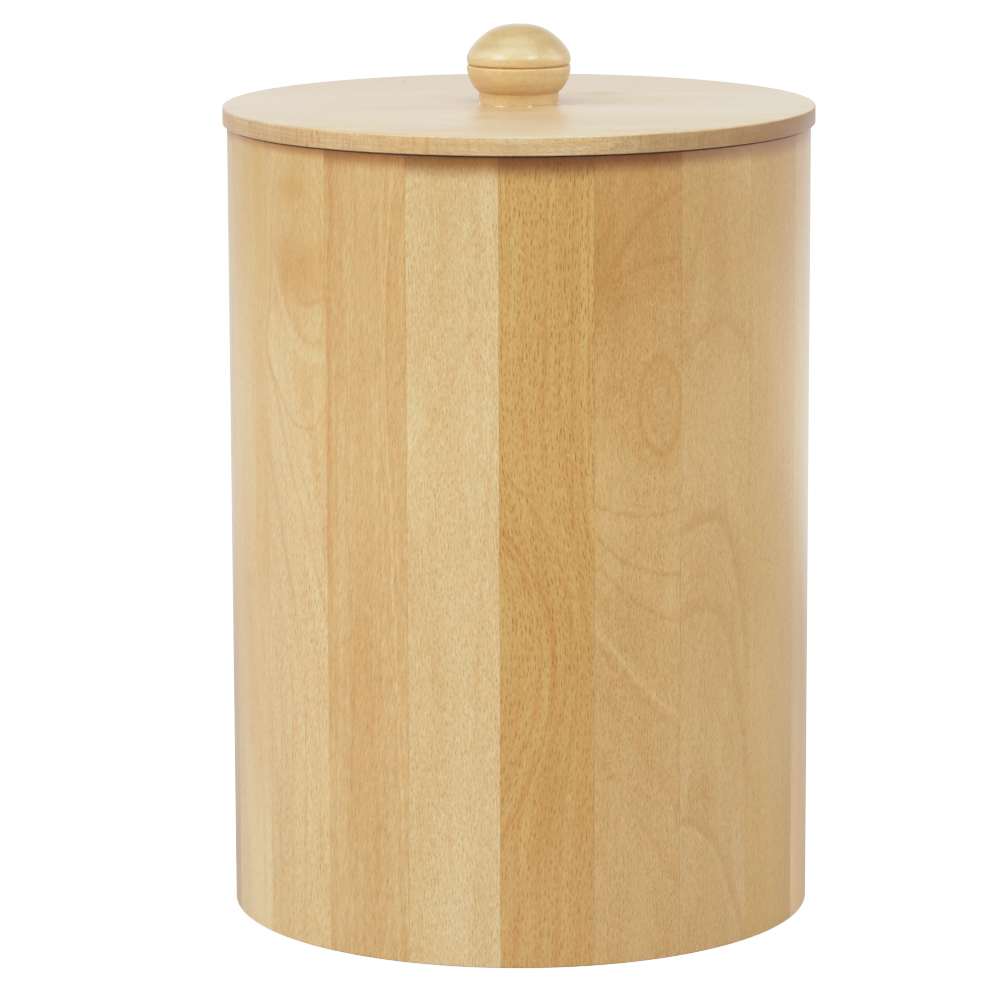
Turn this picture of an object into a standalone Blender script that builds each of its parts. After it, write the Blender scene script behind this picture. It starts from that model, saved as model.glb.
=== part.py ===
"""Round bathroom waste bin, coopered from glued beech staves, with a loose lift-off lid.

Units are metres, +Z is up, and the bin's front faces -Y. The origin is the centre of the foot,
on the floor. Angles round the wall are counted from the front (-Y) towards +X, in degrees.

How it is built:
- twenty bevelled staves are glued edge to edge into a straight tube,
- a plywood base panel is held in a groove that runs round the inside of the wall,
- the lid is three boards glued edge to edge, with a plywood disc under them that drops into
  the wall's mouth and keeps the lid central and flat,
- a turned knob is glued on the lid and held by a countersunk wood screw from below.
The lid lifts straight up off the rim.
"""

import math

import bmesh
import bpy
from mathutils import Vector

MM = 0.001
GAP = 0.3 * MM  # between neighbouring solids

# The wall
STAVES = 20
STAVE_STEP = 360.0 / STAVES
FIRST_STAVE_MIDDLE = 5.16  # degrees from the front
WALL_R = 98.5 * MM
WALL_THICK = 8.0 * MM
WALL_HEIGHT = 267.7 * MM
WALL_ARRIS = 0.6 * MM
STAVE_FACETS = 4
GROOVE_BOTTOM = 6.0 * MM
GROOVE_WIDTH = 6.6 * MM
GROOVE_DEPTH = 3.0 * MM

# The base panel
BASE_THICK = 6.0 * MM
BASE_R = WALL_R - WALL_THICK + GROOVE_DEPTH - GAP

# The lid
LID_R = 100.0 * MM
LID_THICK = 6.3 * MM
LID_ARRIS = 0.7 * MM
LID_JOINTS = (-27.0 * MM, 38.0 * MM)  # where the three boards meet, along Y
LID_UNDERSIDE = WALL_HEIGHT + GAP
LID_FACETS = 120
DISC_R = 88.5 * MM
DISC_THICK = 5.0 * MM
SCREW_HOLE_R = 2.3 * MM

# The knob, as (radius, height above its foot) in millimetres, from the axis at the bottom
# to the axis at the top. The foot is a short collar; a V-groove runs round the widest part.
KNOB_HOLE_DEPTH = 14.6
KNOB_PROFILE = (
    (13.2, 0.0),
    (13.45, 0.3),
    (13.45, 3.55),
    (13.9, 3.95),
    (14.7, 4.75),
    (15.65, 6.0),
    (16.45, 7.5),
    (17.05, 9.1),
    (17.5, 10.8),
    (17.6, 12.1),
    (17.45, 12.75),
    (16.85, 13.15),
    (17.35, 13.55),
    (17.55, 14.3),
    (17.5, 15.6),
    (17.05, 17.0),
    (16.2, 18.4),
    (14.95, 20.0),
    (13.3, 21.7),
    (11.3, 23.35),
    (8.9, 24.8),
    (6.1, 25.85),
    (3.1, 26.35),
    (0.0, 26.5),
)
KNOB_FACETS = 40

# The knob's screw, 4 x 25, countersunk
SCREW_LENGTH = 25.0
SCREW_THREAD_R = 2.0
SCREW_CORE_R = 1.4
SCREW_HEAD_R = 3.7
SCREW_PITCH = 1.8
SCREW_FACETS = 20


def clear_scene():
    for obj in list(bpy.data.objects):
        bpy.data.objects.remove(obj, do_unlink=True)
    for mesh in list(bpy.data.meshes):
        bpy.data.meshes.remove(mesh)


def material(name, colour, roughness, metallic=0.0):
    mat = bpy.data.materials.new(name)
    mat.use_nodes = True
    shader = mat.node_tree.nodes["Principled BSDF"]
    shader.inputs["Base Color"].default_value = (*colour, 1.0)
    shader.inputs["Roughness"].default_value = roughness
    shader.inputs["Metallic"].default_value = metallic
    return mat


def mesh_object(name, mesh, mat, parent, location=(0, 0, 0), turn=0.0):
    obj = bpy.data.objects.new(name, mesh)
    bpy.context.scene.collection.objects.link(obj)
    if not mesh.materials:
        mesh.materials.append(mat)
    obj.parent = parent
    obj.location = location
    obj.rotation_euler = (0, 0, math.radians(turn))
    return obj


def empty(name, location):
    obj = bpy.data.objects.new(name, None)
    bpy.context.scene.collection.objects.link(obj)
    obj.location = location
    return obj


def finish(bm, name):
    """The bmesh as a mesh with its faces pointing out, shaded smooth between its creases."""
    bmesh.ops.recalc_face_normals(bm, faces=bm.faces)
    mesh = bpy.data.meshes.new(name)
    bm.to_mesh(mesh)
    bm.free()
    mesh.shade_smooth()
    mesh.set_sharp_from_angle(angle=math.radians(32))
    return mesh


def turned(profile, facets):
    """A closed solid of revolution about Z. profile holds (radius, z) in metres; an end on the
    axis closes there, and a profile with no end on the axis is closed on itself as a ring."""
    bm = bmesh.new()
    rings = []
    for radius, z in profile:
        if radius < 1e-9:
            rings.append([bm.verts.new((0, 0, z))])
            continue
        rings.append(
            [
                bm.verts.new(
                    (
                        radius * math.cos(2 * math.pi * i / facets),
                        radius * math.sin(2 * math.pi * i / facets),
                        z,
                    )
                )
                for i in range(facets)
            ]
        )
    pairs = list(zip(rings, rings[1:]))
    if len(rings[0]) > 1 and len(rings[-1]) > 1:
        pairs.append((rings[-1], rings[0]))
    for low, high in pairs:
        for i in range(facets):
            j = (i + 1) % facets
            if len(low) == 1:
                bm.faces.new((low[0], high[j], high[i]))
            elif len(high) == 1:
                bm.faces.new((low[i], low[j], high[0]))
            else:
                bm.faces.new((low[i], low[j], high[j], high[i]))
    return bm


def rounded(radius, low, high, arris, steps=2):
    """The outer edge of a board as (radius, z), with both arrises rounded over."""
    points = []
    for i in range(steps + 1):
        a = math.pi / 2 * i / steps
        points.append((radius - arris + arris * math.sin(a), low + arris - arris * math.cos(a)))
    for i in range(steps + 1):
        a = math.pi / 2 * i / steps
        points.append((radius - arris + arris * math.cos(a), high - arris + arris * math.sin(a)))
    return points


def stave_mesh():
    """One stave, its middle at -Y: a profile swept round the axis between two flat sides that
    are parallel to the radial joint planes, half a gap inside them."""
    inner = WALL_R - WALL_THICK
    a, top = WALL_ARRIS, WALL_HEIGHT
    g0, g1 = GROOVE_BOTTOM, GROOVE_BOTTOM + GROOVE_WIDTH
    profile = [
        (inner + a, 0.0),
        (WALL_R - a, 0.0),
        (WALL_R, a),
        (WALL_R, top - a),
        (WALL_R - a, top),
        (inner + a, top),
        (inner, top - a),
        (inner, g1),
        (inner + GROOVE_DEPTH, g1),
        (inner + GROOVE_DEPTH, g0),
        (inner, g0),
        (inner, a),
    ]
    bm = bmesh.new()
    slices = []
    for i in range(STAVE_FACETS + 1):
        share = 2.0 * i / STAVE_FACETS - 1.0
        ring = []
        for radius, z in profile:
            half = math.radians(STAVE_STEP / 2) - math.asin(GAP / 2 / radius)
            angle = share * half
            ring.append(bm.verts.new((radius * math.sin(angle), -radius * math.cos(angle), z)))
        slices.append(ring)
    count = len(profile)
    for left, right in zip(slices, slices[1:]):
        for i in range(count):
            j = (i + 1) % count
            bm.faces.new((left[i], right[i], right[j], left[j]))
    bm.faces.new(slices[0])
    bm.faces.new(list(reversed(slices[-1])))
    return finish(bm, "stave")


def board_mesh(name, y_low, y_high):
    """A strip of the round lid between two joint planes across Y. It keeps its piece of the
    rim, and of the screw's hole at the centre if the strip reaches it."""
    bm = turned(
        [(SCREW_HOLE_R, LID_THICK), (SCREW_HOLE_R, 0.0)]
        + rounded(LID_R, 0.0, LID_THICK, LID_ARRIS),
        LID_FACETS,
    )
    for y, normal in ((y_low, Vector((0, -1, 0))), (y_high, Vector((0, 1, 0)))):
        if y is None:
            continue
        cut = bmesh.ops.bisect_plane(
            bm,
            geom=bm.verts[:] + bm.edges[:] + bm.faces[:],
            dist=1e-7,
            plane_co=(0, y, 0),
            plane_no=normal,
            clear_outer=True,
        )
        edges = [e for e in cut["geom_cut"] if isinstance(e, bmesh.types.BMEdge)]
        bmesh.ops.edgeloop_fill(bm, edges=edges)
    return finish(bm, name)


def screw_mesh():
    """The screw with its head down and its point up, from the head's flat face at z = 0. The
    thread is a row of ridges, one to each pitch. A cross recess is cut into the head."""
    profile = [(0.0, 0.0), (SCREW_HEAD_R, 0.0), (SCREW_HEAD_R, 0.35), (SCREW_THREAD_R, 2.5)]
    z = 9.0
    profile += [(SCREW_THREAD_R, 6.5), (SCREW_CORE_R, 7.2)]
    while z < SCREW_LENGTH - 4.5:
        profile += [
            (SCREW_CORE_R, z - 0.45),
            (SCREW_THREAD_R, z),
            (SCREW_CORE_R, z + 0.45),
        ]
        z += SCREW_PITCH
    profile += [(SCREW_CORE_R, SCREW_LENGTH - 3.2), (0.0, SCREW_LENGTH)]
    return finish(turned([(r * MM, h * MM) for r, h in profile], SCREW_FACETS), "knob_screw")


def cross_recess(screw):
    """Cuts the cross recess into the screw's head with two crossed, tapering blades."""
    bm = bmesh.new()
    for turn in (0, 1):
        wide, deep, thick = 2.1 * MM, 1.6 * MM, 0.42 * MM
        low = [(-wide, -thick), (wide, -thick), (wide, thick), (-wide, thick)]
        high = [(x * 0.35, y * 0.8) for x, y in low]
        if turn:
            low, high = ([(-y, x) for x, y in p] for p in (low, high))
        foot = [bm.verts.new((x, y, -0.5 * MM)) for x, y in low]
        tip = [bm.verts.new((x, y, deep)) for x, y in high]
        bm.faces.new(list(reversed(foot)))
        bm.faces.new(tip)
        for i in range(4):
            j = (i + 1) % 4
            bm.faces.new((foot[i], foot[j], tip[j], tip[i]))
    mesh = finish(bm, "cross_recess")
    for i in (0, 1):
        one = bpy.data.objects.new(f"recess_cutter_{i + 1}", mesh.copy())
        bpy.context.scene.collection.objects.link(one)
        keep = bmesh.new()
        keep.from_mesh(one.data)
        keep.verts.ensure_lookup_table()
        drop = [v for v in keep.verts if (v.index // 8) != i]
        bmesh.ops.delete(keep, geom=drop, context="VERTS")
        keep.to_mesh(one.data)
        keep.free()
        one.parent = screw
        one.hide_render = True
        one.display_type = "WIRE"
        cut = screw.modifiers.new(f"recess_{i + 1}", "BOOLEAN")
        cut.operation = "DIFFERENCE"
        cut.solver = "EXACT"
        cut.object = one


clear_scene()

beech = material("beech", (0.62, 0.40, 0.19), 0.42)
ply = material("beech_plywood", (0.60, 0.42, 0.24), 0.55)
knob_wood = material("turned_beech", (0.68, 0.48, 0.24), 0.22)
steel = material("zinc_plated_steel", (0.72, 0.71, 0.66), 0.32, 1.0)

# The body stands at the origin; the lid hangs from an empty on its lift axis, at the rim.
body = empty("bin_frame", (0, 0, 0))
lid = empty("lid_lift_axis", (0, 0, WALL_HEIGHT))

stave = stave_mesh()
for index in range(STAVES):
    mesh_object(
        f"stave_{index + 1:02d}",
        stave,
        beech,
        body,
        turn=FIRST_STAVE_MIDDLE + STAVE_STEP * index,
    )

base_bottom = GROOVE_BOTTOM + GAP
base = finish(
    turned(
        [(0.0, 0.0)] + rounded(BASE_R, 0.0, BASE_THICK, 0.5 * MM, steps=1) + [(0.0, BASE_THICK)],
        80,
    ),
    "base_panel",
)
mesh_object("base_panel", base, ply, body, location=(0, 0, base_bottom))

# The lid's boards run left to right, so their joints cross the lid at constant Y.
front, rear = LID_JOINTS
for name, low, high in (
    ("lid_board_front", None, front - GAP / 2),
    ("lid_board_middle", front + GAP / 2, rear - GAP / 2),
    ("lid_board_rear", rear + GAP / 2, None),
):
    mesh_object(
        name,
        board_mesh(name, low, high),
        beech,
        lid,
        location=(0, 0, LID_UNDERSIDE - WALL_HEIGHT),
    )

# The locating disc, countersunk from below for the screw's head.
disc_bottom = WALL_HEIGHT - DISC_THICK
disc = finish(
    turned(
        [
            (SCREW_HOLE_R, DISC_THICK),
            (SCREW_HOLE_R, 3.0 * MM),
            (4.1 * MM, 0.9 * MM),
            (4.1 * MM, 0.0),
        ]
        + rounded(DISC_R, 0.0, DISC_THICK, 0.8 * MM),
        96,
    ),
    "lid_locating_disc",
)
mesh_object("lid_locating_disc", disc, ply, lid, location=(0, 0, -DISC_THICK))

# The knob, with a blind hole from its foot for the screw.
knob_foot = LID_UNDERSIDE + LID_THICK + GAP
knob = finish(
    turned(
        [(0.0, KNOB_HOLE_DEPTH * MM), (SCREW_HOLE_R, (KNOB_HOLE_DEPTH - 1.2) * MM), (SCREW_HOLE_R, 0.0)]
        + [(r * MM, z * MM) for r, z in KNOB_PROFILE],
        KNOB_FACETS,
    ),
    "knob",
)
mesh_object("knob", knob, knob_wood, lid, location=(0, 0, knob_foot - WALL_HEIGHT))

screw = mesh_object(
    "knob_screw",
    screw_mesh(),
    steel,
    lid,
    location=(0, 0, -DISC_THICK + 0.35 * MM),
)
cross_recess(screw)
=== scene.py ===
"""The looks of a round wooden waste bin: glued beech staves, a three-board lid and a turned knob.

Lengths in the geometry are in metres; lengths in the materials are in millimetres.
"""

import math
import random

import bmesh
import bpy
from mathutils import Matrix, Vector

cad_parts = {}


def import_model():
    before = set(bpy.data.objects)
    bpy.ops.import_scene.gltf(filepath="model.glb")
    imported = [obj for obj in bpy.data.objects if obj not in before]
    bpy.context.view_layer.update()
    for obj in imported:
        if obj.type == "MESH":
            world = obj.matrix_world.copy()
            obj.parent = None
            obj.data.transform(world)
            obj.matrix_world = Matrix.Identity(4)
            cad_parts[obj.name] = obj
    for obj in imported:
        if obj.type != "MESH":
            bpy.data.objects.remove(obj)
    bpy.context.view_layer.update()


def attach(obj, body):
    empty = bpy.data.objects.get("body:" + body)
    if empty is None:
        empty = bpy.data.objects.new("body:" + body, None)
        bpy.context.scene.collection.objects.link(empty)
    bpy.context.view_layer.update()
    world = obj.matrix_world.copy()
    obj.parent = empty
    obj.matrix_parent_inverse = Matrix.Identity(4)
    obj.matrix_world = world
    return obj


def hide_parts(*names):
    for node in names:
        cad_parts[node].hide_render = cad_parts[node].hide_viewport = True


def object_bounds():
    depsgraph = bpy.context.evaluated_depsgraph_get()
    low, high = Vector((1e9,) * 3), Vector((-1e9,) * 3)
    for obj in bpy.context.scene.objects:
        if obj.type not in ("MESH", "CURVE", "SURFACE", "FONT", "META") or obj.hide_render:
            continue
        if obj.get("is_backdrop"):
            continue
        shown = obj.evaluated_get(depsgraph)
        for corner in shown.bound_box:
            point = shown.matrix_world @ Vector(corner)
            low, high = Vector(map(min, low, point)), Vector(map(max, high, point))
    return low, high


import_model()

MM = 0.001

# The wall and lid, as in the CAD
STAVES = 20
STAVE_STEP = 18.0
FIRST_STAVE_MIDDLE = 5.16
WALL_R, WALL_THICK, WALL_HEIGHT = 98.5, 8.0, 267.7
GROOVE_BOTTOM, GROOVE_WIDTH, GROOVE_DEPTH = 6.0, 6.6, 3.0
LID_R, LID_THICK, LID_UNDERSIDE = 100.0, 6.3, 268.0
LID_JOINTS = (-27.0, 38.0)
KNOB_FOOT = 274.6
SCREW_HOLE_R = 2.3


# ---------------------------------------------------------------------------------------------
# Node building


class Graph:
    """Short names for making a material's nodes. Arguments are sockets or plain numbers."""

    def __init__(self, tree):
        self.tree = tree

    def node(self, kind, **settings):
        made = self.tree.nodes.new(kind)
        for name, value in settings.items():
            setattr(made, name, value)
        return made

    def put(self, socket, value):
        if isinstance(value, bpy.types.NodeSocket):
            self.tree.links.new(value, socket)
        elif value is not None:
            socket.default_value = value

    def math(self, operation, a, b=None, c=None, clamp=False):
        made = self.node("ShaderNodeMath", operation=operation, use_clamp=clamp)
        for socket, value in zip(made.inputs, (a, b, c)):
            self.put(socket, value)
        return made.outputs[0]

    def add(self, a, b):
        return self.math("ADD", a, b)

    def sub(self, a, b):
        return self.math("SUBTRACT", a, b)

    def mul(self, a, b):
        return self.math("MULTIPLY", a, b)

    def div(self, a, b):
        return self.math("DIVIDE", a, b)

    def madd(self, a, b, c):
        return self.math("MULTIPLY_ADD", a, b, c)

    def vector(self, x, y, z):
        made = self.node("ShaderNodeCombineXYZ")
        for socket, value in zip(made.inputs, (x, y, z)):
            self.put(socket, value)
        return made.outputs[0]

    def split(self, vector):
        made = self.node("ShaderNodeSeparateXYZ")
        self.put(made.inputs[0], vector)
        return made.outputs

    def ramp(self, value, low, high, to_low=0.0, to_high=1.0, smooth=True):
        made = self.node(
            "ShaderNodeMapRange", interpolation_type="SMOOTHSTEP" if smooth else "LINEAR"
        )
        for socket, item in zip(made.inputs, (value, low, high, to_low, to_high)):
            self.put(socket, item)
        return made.outputs[0]

    def noise(self, vector, detail=2.0, rough=0.5, distort=0.0, out="Fac"):
        """Signed noise, about -1 to 1, at one feature to each unit of vector."""
        made = self.node("ShaderNodeTexNoise", noise_dimensions="3D", normalize=False)
        self.put(made.inputs["Vector"], vector)
        self.put(made.inputs["Scale"], 1.0)
        self.put(made.inputs["Detail"], detail)
        self.put(made.inputs["Roughness"], rough)
        self.put(made.inputs["Distortion"], distort)
        return made.outputs[out]

    def mix(self, factor, a, b, mode="MIX"):
        made = self.node("ShaderNodeMix", data_type="RGBA", blend_type=mode)
        self.put(made.inputs[0], factor)
        self.put(made.inputs[6], a)
        self.put(made.inputs[7], b)
        return made.outputs[2]


def new_material(name):
    made = bpy.data.materials.new(name)
    made.use_nodes = True
    made.node_tree.nodes.clear()
    return made, Graph(made.node_tree)


def rgb(r, g, b):
    """A colour given as the 0 to 255 values that a picture shows, as linear RGBA."""
    out = []
    for value in (r, g, b):
        s = value / 255.0
        out.append(s / 12.92 if s <= 0.04045 else ((s + 0.055) / 1.055) ** 2.4)
    return (*out, 1.0)


# ---------------------------------------------------------------------------------------------
# Beech


def place(g, turn=0.0, axes="stave"):
    """The shaded point in the board's own frame, in millimetres, as (across, deep, along): across
    the board's face, into it from the face, and along the grain. The fourth value says how squarely
    the surface cuts the grain: 0 on a face and 1 on end grain."""
    coords = g.node("ShaderNodeTexCoord")
    moved = g.node("ShaderNodeMapping", vector_type="POINT")
    g.put(moved.inputs["Vector"], coords.outputs["Object"])
    moved.inputs["Rotation"].default_value = (0, 0, -math.radians(turn))
    moved.inputs["Scale"].default_value = (1000, 1000, 1000)
    x, y, z = g.split(moved.outputs[0])
    nx, _, nz = g.split(coords.outputs["Normal"])
    if axes == "stave":
        return x, g.add(y, WALL_R), z, g.math("ABSOLUTE", nz)
    if axes == "lid":
        return y, g.sub(LID_UNDERSIDE + LID_THICK, z), x, g.math("ABSOLUTE", nx)
    return y, g.sub(KNOB_FOOT + 30.0, z), x, g.math("ABSOLUTE", nx)


def times(tone, r, g, b):
    return (tone[0] * r, tone[1] * g, tone[2] * b, 1.0)


def beech(name, at, look, seed):
    """A beech board. look says its colours, figure and flecks; at is a function that gives the
    board's own coordinates. Colours are linear reflectances, and "tone" is the board's middle one."""
    mat, g = new_material(name)
    across, deep, along, end = at(g)
    s = seed * 13.7
    tone = look["tone"]
    vary = look.get("vary", 1.0)
    pale = times(tone, 1 + 0.04 * vary, 1 + 0.08 * vary, 1 + 0.15 * vary)
    dark = times(tone, 1 - 0.06 * vary, 1 - 0.13 * vary, 1 - 0.24 * vary)
    late_colour = times(tone, *look.get("late", (0.90, 0.71, 0.46)))
    fleck_colour = times(tone, *look.get("fleck_colour", (0.56, 0.34, 0.05)))

    # The grain wanders: streaks, fibres and flecks are drawn in these bent coordinates.
    wander = g.noise(
        g.vector(g.madd(across, 1 / 40.0, s), g.madd(deep, 1 / 40.0, 3.1), g.mul(along, 1 / 110.0)),
        detail=1.0,
    )
    bent = g.madd(wander, look.get("wander", 2.0), across)
    if look.get("tilt", 0.0):
        bent = g.madd(along, look["tilt"], bent)
    for z0, height, lean in look.get("leans", ()):
        # The grain leans across the board around one height.
        near = g.math("ARCTANGENT", g.mul(g.sub(along, z0), 1.0 / height))
        bent = g.madd(near, lean * height, bent)

    # The figure: growth layers meet the face as contour lines of a smooth height field.
    follow = bent if look.get("follow") else across
    field = g.madd(follow, look.get("slope_x", 0.0), look.get("start", 0.0))
    field = g.madd(along, look.get("slope_z", 0.012), field)
    if look.get("bow", 0.0):
        field = g.madd(g.mul(across, across), look["bow"], field)
    if look.get("cross", 0.0):
        field = g.madd(g.mul(across, g.sub(along, look["zc"])), look["cross"], field)
    field = g.madd(deep, look.get("slope_y", 0.22), field)
    for x0, z0, sx, sz, height in look.get("bumps", ()):
        dx = g.mul(g.sub(across, x0), 1.0 / sx)
        dz = g.mul(g.sub(along, z0), 1.0 / sz)
        far = g.madd(dx, dx, g.mul(dz, dz))
        field = g.madd(g.math("EXPONENT", g.mul(far, -1.0)), height, field)
    stir = g.noise(
        g.vector(g.madd(across, 1 / 13.0, s + 7), g.mul(deep, 1 / 16.0), g.mul(along, 1 / 42.0)),
        detail=3.0,
        rough=0.5,
    )
    field = g.madd(stir, look.get("stir", 0.35), field)
    ripple = g.noise(
        g.vector(g.madd(bent, 1 / 1.5, s), g.mul(deep, 1 / 1.5), g.mul(along, 1 / 14.0)), detail=1.5
    )
    field = g.madd(ripple, look.get("ripple", 0.05), field)
    layer = g.math("FRACT", field)
    # Late wood builds up across a layer, and ends at a line. Each layer has its own strength.
    late = g.math("POWER", layer, look.get("sharp", 3.0))
    late = g.math("MAXIMUM", late, g.ramp(layer, 0.0, 0.16, 0.75, 0.0))
    each = g.noise(g.vector(g.math("FLOOR", g.add(field, 0.05)), s, 0.5), detail=0.0)
    late = g.mul(late, g.ramp(each, -0.45, 0.45, 0.35, 1.3, smooth=False))
    band = g.noise(g.vector(g.mul(field, 0.75), s + 3, 0.5), detail=1.0)

    # Broad soft clouds, and narrow streaks along the grain.
    broad = g.noise(
        g.vector(g.madd(bent, 1 / 11.0, s + 2), g.mul(deep, 1 / 14.0), g.mul(along, 1 / 70.0)),
        detail=2.5,
    )
    streak = g.noise(
        g.vector(g.madd(bent, 1 / 1.9, s + 5), g.mul(deep, 1 / 2.4), g.mul(along, 1 / 46.0)),
        detail=2.5,
        rough=0.6,
    )
    lean = bent
    if look.get("fibre_tilt", 0.0):
        lean = g.madd(along, look["fibre_tilt"], bent)
    fibre = g.noise(
        g.vector(
            g.madd(lean, 1 / 0.42, s), g.mul(deep, 1 / 0.42), g.mul(along, 1 / look.get("fibre_long", 2.6))
        ),
        detail=2.0,
        rough=0.65,
    )
    blush = g.noise(
        g.vector(g.madd(bent, 1 / 3.0, s + 9), g.mul(deep, 1 / 3.0), g.mul(along, 1 / 9.0)),
        detail=2.0,
        rough=0.6,
    )

    level = g.madd(broad, look.get("broad", 0.35), 0.5)
    level = g.madd(band, look.get("band", 0.40), level)
    level = g.madd(streak, look.get("streak", 0.25), level)
    for x0, z0, sx, sz, amount in look.get("patches", ()):
        dx = g.mul(g.sub(bent, x0), 1.0 / sx)
        dz = g.mul(g.sub(along, z0), 1.0 / sz)
        far = g.madd(dx, dx, g.mul(dz, dz))
        level = g.madd(g.math("EXPONENT", g.mul(far, -1.0)), amount, level)
    for x0, z0, x1, z1, half, amount in look.get("lines", ()):
        # A thin streak from one point to another, wavering a little.
        length = math.hypot(x1 - x0, z1 - z0)
        nx, nz = (z1 - z0) / length, -(x1 - x0) / length
        off = g.madd(across, nx, g.madd(along, nz, -(x0 * nx + z0 * nz)))
        off = g.madd(stir, 1.6, g.madd(ripple, 0.35, off))
        reach = g.madd(
            across, -nz, g.madd(along, nx, (x0 * nz - z0 * nx))
        )
        inside = g.mul(
            g.ramp(reach, -6.0, 10.0), g.ramp(reach, length - 10.0, length + 6.0, 1.0, 0.0)
        )
        line = g.ramp(g.math("ABSOLUTE", off), 0.0, half, 1.0, 0.0)
        level = g.madd(g.mul(line, inside), amount, level)
    # 0 is pale and 1 is dark, but the ends run on a little.
    level = g.math("MINIMUM", g.math("MAXIMUM", level, -0.7), 1.9)
    base = g.node("ShaderNodeMix", data_type="RGBA", clamp_factor=False)
    g.put(base.inputs[0], level)
    g.put(base.inputs[6], pale)
    g.put(base.inputs[7], dark)
    base = base.outputs[2]
    base = g.mix(g.mul(late, look.get("rings", 0.4)), base, late_colour)
    for middle, half, amount in look.get("bands", ()):
        # One growth layer that stands out, dark or pale.
        near = g.ramp(g.math("ABSOLUTE", g.sub(field, middle)), 0.0, half, 1.0, 0.0)
        colour = late_colour if amount > 0 else times(tone, 1.07, 1.16, 1.30)
        base = g.mix(g.mul(near, abs(amount)), base, colour)
    # Single growth lines, each a curve over the board, sharp on one side and fading on the other.
    dark_lines, pale_lines = 0.0, 0.0
    waver = g.madd(ripple, 0.45, g.mul(stir, 0.9))
    for axis, t0, p0, slope, bend_low, bend_high, fade, amount, low, high in look.get("strokes", ()):
        run, other = (across, along) if axis == "z" else (along, across)
        t = g.sub(run, t0)
        t_low, t_high = g.math("MINIMUM", t, 0.0), g.math("MAXIMUM", t, 0.0)
        curve = g.madd(t, slope, p0)
        curve = g.madd(g.mul(t_low, t_low), bend_low, curve)
        curve = g.madd(g.mul(t_high, t_high), bend_high, curve)
        steep = g.madd(t_low, 2 * bend_low, g.madd(t_high, 2 * bend_high, slope))
        off = g.div(g.sub(other, curve), g.math("SQRT", g.madd(steep, steep, 1.0)))
        off = g.add(off, waver)
        if fade < 0:
            off = g.mul(off, -1.0)
        width = abs(fade)
        line = g.math(
            "MINIMUM", g.ramp(off, -max(0.35, 0.3 * width), 0.0), g.ramp(off, 0.0, width, 1.0, 0.0)
        )
        soft = 3.0 if axis == "z" else 12.0
        ends = g.mul(
            g.ramp(run, low - soft, low + soft), g.ramp(run, high - soft, high + soft, 1.0, 0.0)
        )
        line = g.mul(line, ends)
        if amount > 0:
            dark_lines = g.madd(line, amount, dark_lines)
        else:
            pale_lines = g.madd(line, -amount, pale_lines)
    for x0, z0, rx, rz, half, amount in look.get("loops", ()):
        dx = g.mul(g.sub(across, x0), 1.0 / rx)
        dz = g.mul(g.sub(along, z0), 1.0 / rz)
        off = g.mul(g.sub(g.math("SQRT", g.madd(dx, dx, g.mul(dz, dz))), 1.0), min(rx, rz))
        line = g.ramp(g.math("ABSOLUTE", g.add(off, waver)), 0.0, half, 1.0, 0.0)
        dark_lines = g.madd(line, amount, dark_lines)
    if not isinstance(pale_lines, float):
        base = g.mix(g.math("MINIMUM", pale_lines, 1.0), base, times(tone, 1.06, 1.13, 1.26))
    if not isinstance(dark_lines, float):
        line_colour = times(tone, *look.get("stroke_colour", (0.88, 0.72, 0.50)))
        base = g.mix(g.math("MINIMUM", dark_lines, 1.0), base, line_colour)
    rosy = g.mix(g.ramp(blush, -0.7, 0.7), (0.985, 1.015, 1.03, 1.0), (1.015, 0.985, 0.96, 1.0))
    base = g.mix(look.get("blush", 1.0), base, rosy, "MULTIPLY")

    # Ray flecks: the ends of the rays, as short dark dashes along the grain. Each one sits in a
    # cell of its own.
    def flecks(wide, tall, half_wide, half_long, shift, amount):
        cx = g.madd(lean, 1.0 / wide, shift)
        cy = g.madd(cx, 0.618, g.mul(along, 1.0 / tall))
        cells = g.node("ShaderNodeTexVoronoi", voronoi_dimensions="2D", feature="F1")
        g.put(cells.inputs["Vector"], g.vector(cx, cy, 0.0))
        cells.inputs["Scale"].default_value = 1.0
        cells.inputs["Randomness"].default_value = look.get("fleck_stray", 0.62)
        px, py, _ = g.split(cells.outputs["Position"])
        pick_a, pick_b, _ = g.split(cells.outputs["Color"])
        size = g.madd(pick_a, 0.8, 0.55)
        aside = g.sub(cx, px)
        dx = g.div(g.mul(aside, wide / half_wide), size)
        dy = g.div(g.mul(g.madd(aside, -0.618, g.sub(cy, py)), tall / half_long), size)
        far = g.math("SQRT", g.madd(dx, dx, g.mul(dy, dy)))
        mask = g.ramp(far, 0.35, 1.25, 1.0, 0.0)
        return g.mul(mask, g.ramp(pick_b, 0.0, 1.0, 0.5 * amount, amount, smooth=False))

    wide, tall = look.get("fleck_cell", (1.3, 3.2))
    half_wide, half_long = look.get("fleck_size", (0.17, 1.0))
    large = flecks(wide, tall, half_wide, half_long, s, 1.0)
    small = flecks(wide * 0.55, tall * 0.5, half_wide * 0.7, half_long * 0.5, s + 31.3, 0.5)
    fleck = g.math("MAXIMUM", large, small)
    # Fewer where the growth layers lie flat to the face.
    crowd = g.ramp(g.madd(stir, 0.7, broad), -0.9, 0.4, look.get("fleck_low", 0.55), 1.0)
    fleck = g.mul(fleck, crowd)
    for z0, z1, low, high in look.get("fleck_fade", ()):
        fleck = g.mul(fleck, g.ramp(along, z0, z1, low, high))
    base = g.mix(g.mul(fleck, look.get("fleck", 0.5)), base, fleck_colour)

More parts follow.
